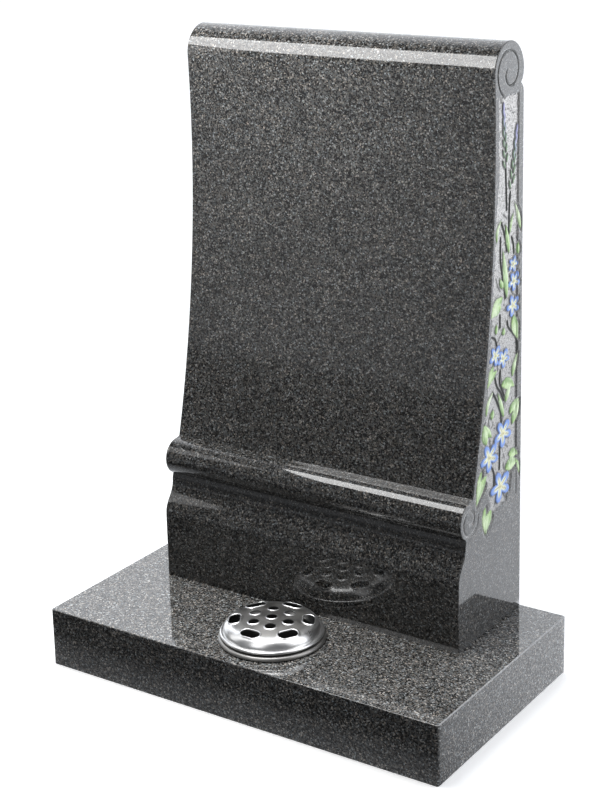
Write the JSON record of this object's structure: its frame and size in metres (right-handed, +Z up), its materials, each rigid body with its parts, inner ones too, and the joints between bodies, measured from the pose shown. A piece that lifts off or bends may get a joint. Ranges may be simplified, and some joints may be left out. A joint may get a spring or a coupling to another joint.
{
  "type": "headstone",
  "caption": "Upright scroll-shaped granite headstone with a hollow front face, a carved side and a matching base, with a lidded flower container let into the base.",
  "frame": {"origin": "under the middle of the base, on its underside", "axes": "+Z up, front face towards -Y, +X to the right as seen from the front"},
  "size_m": [0.61, 0.344, 0.8539],
  "materials": {
    "granite_base": null,
    "granite_stone": null,
    "container_metal": "spun, satin",
    "lid_metal": "spun, satin top and polished shoulder"
  },
  "bodies": {
    "root": {"base": "granite_base", "headstone": "granite_stone", "flower_container": "container_metal", "container_lid": "lid_metal"}
  },
  "joints": []
}
